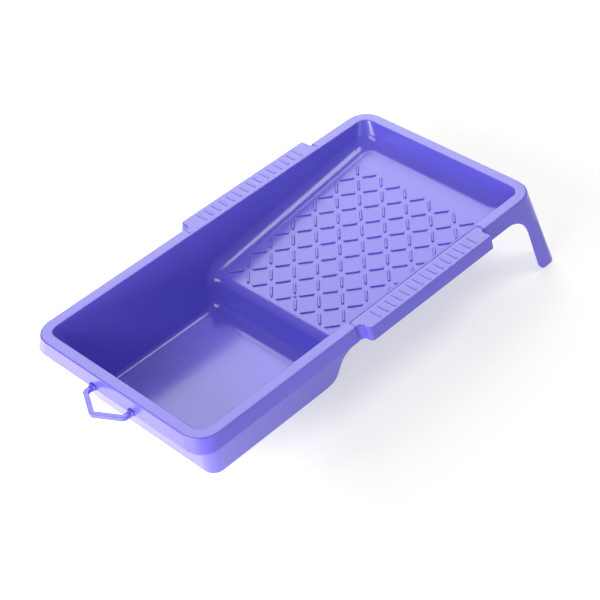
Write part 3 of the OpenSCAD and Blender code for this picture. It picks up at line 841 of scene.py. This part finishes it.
# --------------------------------------------------------- raised small parts
def loops_piece(name, groups, nodes):
    """One object of closed lofts. Each group is a list of loops of points, from its first end to its last."""
    v, f, count = [], [], 0
    for loops in groups:
        n = len(loops[0])
        ids = [np.arange(n) + count + i * n for i in range(len(loops))]
        v += loops
        count += n * len(loops)
        f += [band(a, b) for a, b in zip(ids, ids[1:])]
        f += [across(ids[0])[:, ::-1], across(ids[-1])]
    v, f = np.concatenate(v), np.concatenate(f)
    return piece(name, v, f, weighted_normals(v, f), len(f), nodes)


def stadium(length, width, z, n=8):
    """Outline of a bar at height z, as 2n points that start at the right end's lower corner."""
    t = np.linspace(-math.pi / 2, math.pi / 2, n)
    a = np.stack([(length - width) / 2 + width / 2 * np.cos(t), width / 2 * np.sin(t), t * 0 + z], -1)
    return np.concatenate([a, a * [-1, -1, 1]])


def bar(length, width, height):
    """A raised bar with a rounded crown and a small fillet at its foot."""
    # Steps as (how much wider than the bar, as a share of half its width or 0.7 mm, height as a share)
    steps = [(1.0, -0.08), (0.75, 0.0), (0.35, 0.08), (0.12, 0.22), (0.02, 0.45), (-0.04, 0.68),
             (-0.16, 0.86), (-0.36, 0.96), (-0.7, 1.0)]
    out = []
    for share, z in steps:
        wider = share * 0.5 * min(width, 1.4)
        out.append(stadium(length + wider, width + wider, height * z))
    return out


# The crossings on the ramp: their spacing, the y of the first row, and how many there are
PITCH, GRID_Y, GRID_COLS, GRID_ROWS = 21.27, 147.7, 5, 6
RIB_L, RIB_W, RIB_H = 9.4, 1.4, 0.9


def on_ramp(p):
    """Points given across, along and above the ramp from the first row of crossings."""
    slope = math.atan(KY)
    cs, sn = math.cos(slope), math.sin(slope)
    x, y, z = p[:, 0], p[:, 1], p[:, 2]
    ground = KY * (GRID_Y - STEP_Y) - RAMP_D
    return np.stack([x, GRID_Y + y * cs - z * sn, ground + y * sn + z * cs], -1)


ribs = []
for i in range(GRID_COLS):
    for j in range(GRID_ROWS):
        crossing = np.array([(i - (GRID_COLS - 1) / 2) * PITCH, j * PITCH, 0])
        for angle in (45, 135, 225, 315):
            c, s = math.cos(math.radians(angle)), math.sin(math.radians(angle))
            mid = crossing + PITCH / math.sqrt(8) * np.array([c, s, 0])
            turn = np.array([[c, s, 0], [-s, c, 0], [0, 0, 1]])
            ribs.append([on_ramp(p @ turn + mid) for p in bar(RIB_L, RIB_W, RIB_H)])
loops_piece("roller_grid_ribs", ribs, ["roller_grid"])


def disc(r, z):
    """Outline of the round gate mark at radius r and height z, in the middle crossing of the first row."""
    a = np.linspace(0, 2 * math.pi, 25)[:-1]
    return on_ramp(np.stack([r * np.cos(a), r * np.sin(a), a * 0 + z], -1))


gate = [(1.15, -0.05), (0.98, 0.04), (0.88, 0.16), (0.85, 0.4), (0.78, 0.55), (0.64, 0.6),
        (0.42, 0.58), (0.3, 0.5), (0.15, 0.47)]
loops_piece("gate_mark_dot", [[disc(r, z) for r, z in gate]], ["gate_mark"])

for word, sg in (("left", -1), ("right", 1)):
    bars = []
    for y in np.linspace(TAB_Y0 + GRIP_EDGE, TAB_Y1 - GRIP_EDGE, GRIP_BARS):
        mid = [sg * (PANEL_X + TAB_X) / 2, y, -PANEL_SINK]
        bars.append([p + mid for p in bar(GRIP_L, GRIP_W, GRIP_H)])
    loops_piece(word + "_grip_bars_row", bars, [word + "_grip_bars"])


# ---------------------------------------------------------- the hanging loop
def rounded_box(hx, hz, r, n=5):
    """Outline of a bar's section, as offsets across and up."""
    out = []
    for sx, sz, a0 in ((1, 1, 0), (-1, 1, 90), (-1, -1, 180), (1, -1, 270)):
        for k in range(n):
            a = math.radians(a0 + 90 * k / (n - 1))
            out.append((sx * (hx - r) + r * math.cos(a), sz * (hz - r) + r * math.sin(a)))
    return np.array(out)


def sweep(path, outline_2d, z):
    """Loops of a level bar along a plan path."""
    d = unit(np.gradient(path, axis=0))
    side_n = np.stack([d[:, 1], -d[:, 0]], -1)
    up = z + outline_2d[:, 1:]
    return [np.concatenate([p + s * outline_2d[:, :1], up], 1) for p, s in zip(path, side_n)]


# The loop: half its width, the y of its start, shoulder and tip, and the bar's width and thickness
LOOP_X, LOOP_Y0, LOOP_SHOULDER, LOOP_TIP, BAR_W, BAR_T = 17.0, -2.2, -7.2, -16.9, 3.4, 2.8
shoulder, tip = np.array([LOOP_X, LOOP_SHOULDER]), np.array([0, LOOP_TIP])
bend = corner_arc(shoulder, (0, 1), tip - shoulder, 2.2, 10)
nose = corner_arc(tip, shoulder - tip, shoulder * [-1, 1] - tip, 2.6, 12)
straight = np.linspace([LOOP_X, LOOP_Y0], bend[0], 8)[:-1]
half_path = np.concatenate([straight, bend, np.linspace(bend[-1], nose[0], 14)[1:-1]])
loop_path = np.concatenate([half_path, nose, half_path[::-1] * [-1, 1]])
bar_box = rounded_box(BAR_W / 2, BAR_T / 2, 0.45)[::-1]
loops_piece("hang_loop_bar", [sweep(loop_path, bar_box, -SKIRT + BAR_T / 2)], ["hang_loop"])

# The bosses the loop grows out of: half their width and height, and (y, inset) of each loop
BOSS_X, BOSS_Z = 2.7, 1.8
BOSS_STEPS = [(-0.35, 0), (-1.7, 0), (-2.1, 0.08), (-2.4, 0.22), (-2.6, 0.42), (-2.7, 0.7)]
bosses = []
for s in (-1, 1):
    stack = []
    for y, inset in BOSS_STEPS:
        k = rounded_box(BOSS_X, BOSS_Z, 0.8) * [1 - inset / BOSS_X, 1 - inset / BOSS_Z]
        stack.append(np.stack([s * LOOP_X + k[:, 0], k[:, 0] * 0 + y, k[:, 1] + BOSS_Z - SKIRT], -1))
    bosses.append(stack)
loops_piece("loop_bosses_pair", bosses, ["loop_bosses"])

# ---------------------------------------------------- floor, light and camera
# Strength of the floor's glow everywhere and in a round painted pool of light in front of the tray, and the
# pool's radius and middle in metres
FLOOR_GLOW, PAINTED_POOL_GLOW, PAINTED_POOL_R, PAINTED_POOL_X, PAINTED_POOL_Y = 0.56, 4.5, 0.45, -0.13, -0.42


def stage_plane(size, z):
    """A white floor that glows a little, as a light table does, and much more in a painted pool of light in
    front of the tray.
    """
    me = bpy.data.meshes.new("floor")
    corners = [(x * size, y * size, z) for x, y in ((-1, -1), (1, -1), (1, 1), (-1, 1))]
    me.from_pydata(corners, [], [(0, 1, 2, 3)])
    ob = bpy.data.objects.new("floor", me)
    bpy.context.scene.collection.objects.link(ob)
    m = bpy.data.materials.new("floor_paper")
    m.use_nodes = True
    nt = m.node_tree
    b = nt.nodes["Principled BSDF"]
    b.inputs["Base Color"].default_value = (0.42, 0.42, 0.4, 1)
    b.inputs["Roughness"].default_value = 0.7
    b.inputs["Specular IOR Level"].default_value = 0.1
    b.inputs["Emission Color"].default_value = (1, 1, 1, 1)
    kinds = ("TexCoord", "Mapping", "TexGradient", "ValToRGB", "Math")
    co, mp, gr, rp, ml = (nt.nodes.new("ShaderNode" + k) for k in kinds)
    # The painted pool of light: the floor's glow rises towards the pool's middle in front of the tray, and
    # this glow also lights the tray's front
    mp.inputs["Location"].default_value = (-PAINTED_POOL_X / PAINTED_POOL_R, -PAINTED_POOL_Y / PAINTED_POOL_R, 0)
    mp.inputs["Scale"].default_value = (1 / PAINTED_POOL_R, 1 / PAINTED_POOL_R, 1 / PAINTED_POOL_R)
    gr.gradient_type = "SPHERICAL"
    rp.color_ramp.interpolation = "EASE"
    rp.color_ramp.elements[0].color = [FLOOR_GLOW / PAINTED_POOL_GLOW] * 3 + [1]
    rp.color_ramp.elements[1].color = (1, 1, 1, 1)
    ml.operation = "MULTIPLY"
    ml.inputs[1].default_value = PAINTED_POOL_GLOW
    nt.links.new(co.outputs["Object"], mp.inputs["Vector"])
    nt.links.new(mp.outputs["Vector"], gr.inputs["Vector"])
    nt.links.new(gr.outputs["Fac"], rp.inputs["Fac"])
    nt.links.new(rp.outputs["Color"], ml.inputs[0])
    nt.links.new(ml.outputs["Value"], b.inputs["Emission Strength"])
    me.materials.append(m)


stage_plane(6, -0.0002)


def softbox(name, toward, dist, size, radiance):
    """A soft light dist metres away from the tray in the direction toward, facing it."""
    d = bpy.data.lights.new(name, "AREA")
    d.shape = "RECTANGLE"
    d.size, d.size_y = size
    d.energy = radiance * math.pi * size[0] * size[1]
    ob = bpy.data.objects.new(name, d)
    bpy.context.scene.collection.objects.link(ob)
    v = Vector(toward).normalized()
    ob.location = Vector((0, 0, 0.03)) + v * dist
    ob.rotation_euler = (-v).to_track_quat("-Z", "Y").to_euler()


world = bpy.data.worlds.new("studio")
bpy.context.scene.world = world
world.use_nodes = True
world.node_tree.nodes["Background"].inputs["Color"].default_value = (1, 1, 1, 1)
world.node_tree.nodes["Background"].inputs["Strength"].default_value = 0.2
softbox("rear_left_box", (-0.6, 0.48, 0.63), 1.6, (1.0, 1.0), 4.4)
softbox("top_box", (0.22, 0.5, 0.83), 1.5, (0.6, 0.6), 7)
softbox("low_right_box", (1, -0.1, 0.1), 1.5, (1.2, 0.25), 3.2)
softbox("front_box", (0, -0.8, 0.53), 1.5, (1.2, 0.4), 7)
softbox("low_front_box", (0.1, -1, 0.1), 1.5, (1.2, 0.3), 15)

# The camera's turn in degrees about x, y and z, and its place in mm from the front rim edge
CAMERA_TURN, CAMERA_AT = (49.507, 5.06, 44.295), (617.9, -393.2, 662.6)
cam_d = bpy.data.cameras.new("camera")
cam = bpy.data.objects.new("camera", cam_d)
bpy.context.scene.collection.objects.link(cam)
turn = Euler([math.radians(a) for a in CAMERA_TURN]).to_matrix().to_4x4()
cam.matrix_world = Matrix.Translation(Vector((np.array(CAMERA_AT) + ORIGIN) * MM)) @ turn
cam_d.sensor_width = 36
cam_d.lens = 102.16
cam_d.clip_end = 20
bpy.context.scene.camera = cam
bpy.context.scene.view_settings.view_transform = "Standard"
